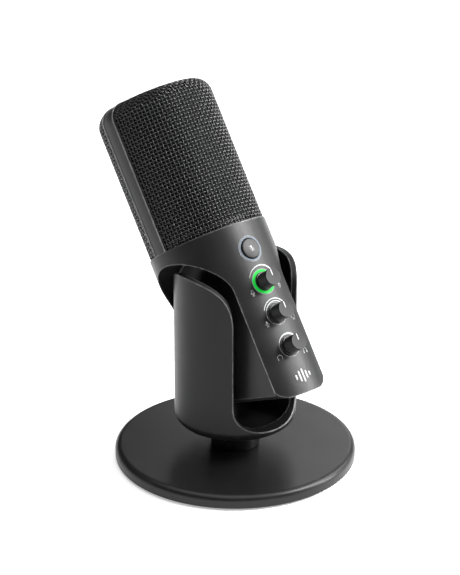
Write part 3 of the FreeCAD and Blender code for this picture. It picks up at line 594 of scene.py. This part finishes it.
def paint_top(piece, body_finish, face_finish, above):
    """Two finishes on a turned piece: one for its face and one for all the rest."""
    piece.data.materials.clear()
    piece.data.materials.append(finishes[body_finish])
    piece.data.materials.append(finishes[face_finish])
    for face in piece.data.polygons:
        face.material_index = int(face.center.z > above and face.normal.z > 0.6)


grip = knurled_grip()
flange = turned_disc(flange_radius, 0.0, flange_height, flange_round)
collar = turned_disc(knob_radius - collar_inset, collar_bottom, knurl_bottom + 0.25 * MM,
                     collar_round)
knob_face = turned_disc(knob_radius, knurl_top - face_overlap, knob_length, face_round,
                        face_rim, face_sink)
knob = join_pieces("knob_pattern", [grip, flange, collar, knob_face])
paint_top(knob, "knob_grip", "knob_plastic", knob_length - 0.3 * MM)
print("one knob has", len(knob.data.polygons), "faces")

# %% Copy the knob to the three shafts
def panel_place(height, depth):
    """Where a piece modelled on the Z axis goes on the panel: this high and this far out."""
    return (leaned @ Matrix.Translation(Vector((0, -depth, height)))
            @ Matrix.Rotation(math.pi / 2, 4, "X"))


knob_seat = 32.0 * MM
for control in ("gain", "mix", "volume"):
    shaft_place = leaned.inverted() @ Vector(joints[control + "_turn"]["pos_m"])
    copy = knob.copy()
    copy.data = knob.data.copy()
    copy.name = copy.data.name = control + "_knurled_knob"
    bpy.context.scene.collection.objects.link(copy)
    copy.data.transform(panel_place(shaft_place.z, knob_seat))
    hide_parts(control + "_knob")
    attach(copy, control + "_knob")
bpy.data.objects.remove(knob)
print("three knobs in place")

# %% [markdown]
# ## Mute button
# The mute button is a broad cap with a gently domed top and dark sides that drop into its
# ring of light. The top face is inset again and again, and the rings are lifted into a dome.

# %% Model the mute cap
mute_height = 24.3 * MM
mute_radius, mute_dome = 5.2 * MM, 0.45 * MM
mute_back, mute_rim = 27.4 * MM, 32.3 * MM
mute_flange, mute_flange_height, mute_flange_round = 6.4 * MM, 1.0 * MM, 0.2 * MM
mute_edge_round, dome_rings, dome_ring_width = 0.35 * MM, 7, 0.6 * MM

cap = turned_disc(mute_radius, 0.0, mute_rim - mute_back, mute_edge_round, steps=5)
bpy.ops.object.mode_set(mode="EDIT")
for _ in range(dome_rings):
    pick("FACE", lambda face: face.normal.z > 0.99 and len(face.verts) > 8)
    bpy.ops.mesh.inset(thickness=dome_ring_width)
bpy.ops.object.mode_set(mode="OBJECT")
for point in cap.data.vertices:
    if point.co.z > mute_rim - mute_back - 0.4 * MM:
        share = math.hypot(point.co.x, point.co.y) / mute_radius
        point.co.z += mute_dome * (1 - share * share)
cap_flange = turned_disc(mute_flange, 0.0, mute_flange_height, mute_flange_round)
mute_button = join_pieces("mute_button_cap", [cap, cap_flange])
paint_top(mute_button, "knob_grip", "button_plastic", mute_rim - mute_back - 0.45 * MM)
mute_button.data.transform(panel_place(mute_height, mute_back))
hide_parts("mute_cap")
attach(mute_button, "mute_button")
print("mute cap has", len(mute_button.data.polygons), "faces")

# %% [markdown]
# ## Printed marks
# The marks beside the controls are white pad prints, a few hundredths of a millimetre thick.
# Each is drawn flat as strokes that may swell or taper along their length, turned into a
# mesh, and then laid on the round panel or on the domed cap by moving its points.

# %% Draw strokes and lay them on a surface
panel_radius = 31.6 * MM
print_relief = 0.12              # how far a stroke's roundness stands up, once it is flat


def rounded(points, width):
    """A stroke of one width with round ends, as (x, up, width) points in millimetres."""
    first, second, before, last = (Vector(points[index]) for index in (0, 1, -2, -1))
    start = first + (first - second).normalized() * width * 0.45
    end = last + (last - before).normalized() * width * 0.45
    return [(*start, 0.15 * width), *[(*point, width) for point in points],
            (*end, 0.15 * width)]


def ring_points(radius, first, last, centre=(0, 0), count=24):
    """Points on an arc, in degrees from the right, anticlockwise."""
    turns = [math.radians(first + (last - first) * step / count) for step in range(count + 1)]
    return [(centre[0] + radius * math.cos(turn), centre[1] + radius * math.sin(turn))
            for turn in turns]


def on_panel(across, up, lift):
    turn = math.asin(across / panel_radius)
    return Vector(((panel_radius + lift) * math.sin(turn),
                   -(panel_radius + lift) * math.cos(turn), up))


def on_mute_cap(across, up, lift):
    share = math.hypot(across, up - mute_height) / mute_radius
    return Vector((across, -(mute_rim + mute_dome * (1 - share * share) + lift), up))


def printed(name, strokes, place, surface, body):
    """A print from strokes, at (across, up) millimetres on a surface, riding on a body."""
    line = bpy.data.curves.new(name, "CURVE")
    line.dimensions = "3D"
    line.bevel_depth = MM / 2
    line.bevel_resolution = 2
    line.use_fill_caps = True
    for stroke in strokes:
        spline = line.splines.new("POLY")
        spline.points.add(len(stroke) - 1)
        for point, (across, up, width) in zip(spline.points, stroke):
            point.co = ((place[0] + across) * MM, (place[1] + up) * MM, 0, 1)
            point.radius = width
    drawing = bpy.data.objects.new(name, line)
    bpy.context.scene.collection.objects.link(drawing)
    deselect()
    drawing.select_set(True)
    bpy.context.view_layer.objects.active = drawing
    bpy.ops.object.convert(target="MESH")
    mark = bpy.context.object
    for point in mark.data.vertices:
        point.co = surface(point.co.x, point.co.y, print_relief * point.co.z)
    mark.data.transform(leaned)
    mark.data.materials.clear()
    mark.data.materials.append(finishes["white_inlay"])
    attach(mark, body)
    print(name, "made of", len(strokes), "strokes")
    return mark


# %% Draw the marks
def microphone_mark(filled):
    """A hand microphone in its holder, outlined or filled."""
    if filled:
        body = [rounded([(0, 0.2), (0, 1.1)], 0.8)]
    else:
        sides = ring_points(0.5, 0, 180, (0, 1.1), 10) + ring_points(0.5, 180, 360, (0, 0.1), 10)
        body = [rounded(sides + sides[:1], 0.16)]
    return body + [rounded(ring_points(0.95, 180, 360, (0, 0.15), 12), 0.17),
                   rounded([(0, -0.85), (0, -1.4)], 0.18),
                   rounded([(-0.55, -1.5), (0.55, -1.5)], 0.18)]


def headphone_mark(width):
    """Headphones seen from the front: a bow and two ear cups."""
    return [rounded(ring_points(1.3, -5, 185), 0.18),
            rounded([(-1.2, -0.35), (-1.15, -1.15)], width),
            rounded([(1.2, -0.35), (1.15, -1.15)], width)]


screen_mark = [rounded([(-1.3, -0.4), (-1.3, 1.2), (1.3, 1.2), (1.3, -0.4), (-1.3, -0.4)], 0.2),
               rounded([(0, -0.5), (0, -1.1)], 0.24), rounded([(-0.8, -1.2), (0.8, -1.2)], 0.22)]


def swelling_arc(inner, outer, first=150, last=34, count=40):
    """A crescent between two circles, each (radius, across, up), from one angle to another."""
    stroke = []
    for step in range(count + 1):
        turn = math.radians(first + (last - first) * step / count)
        near, wide = (circle[0] + circle[1] * math.cos(turn) + circle[2] * math.sin(turn)
                      for circle in (inner, outer))
        middle = (near + wide) / 2
        stroke.append((middle * math.cos(turn), middle * math.sin(turn), wide - near))
    return stroke


marks = {
    "gain_level_arc": ([swelling_arc((8.08, 0.42, 0.13), (8.62, 0.85, 0.2))], (0, 6.4)),
    "gain_low_mark": (microphone_mark(False), (-8.3, 2.6)),
    "gain_high_mark": (microphone_mark(True), (9.3, 2.6)),
    "mix_level_arcs": ([swelling_arc((7.42, 0.85, 0.1), (7.92, 1.0, 0.15)),
                        swelling_arc((6.3, 0.75, -0.1), (6.72, 0.85, -0.05))], (0, -11.0)),
    "mix_microphone_mark": (microphone_mark(True), (-7.3, -14.5)),
    "mix_computer_mark": (screen_mark, (10.1, -15.2)),
    "volume_level_arc": ([swelling_arc((6.0, 0.3, -0.05), (6.62, 0.75, 0.05))], (0, -28.4)),
    "volume_low_mark": (headphone_mark(0.24), (-7.6, -32.5)),
    "volume_high_mark": (headphone_mark(0.55), (8.9, -33.2)),
    "sound_bars_mark": ([rounded([(x, -h), (x, h)], 1.0) for x, h in
                         ((-4.4, 0.9), (-2.2, 2.4), (0, 3.1), (2.2, 1.7), (4.4, 0.7))],
                        (1.2, -44.7)),
}
for name, (strokes, place) in marks.items():
    printed(name, strokes, place, on_panel, "microphone")
mute_strokes = [[(x, up, width) for x, up, width in stroke] for stroke in microphone_mark(True)]
mute_strokes.append(rounded([(1.3 * step / 6, -1.3 * step / 6) for step in range(-6, 7)], 0.2))
printed("mute_mark", mute_strokes, (0, mute_height / MM), on_mute_cap, "mute_button")
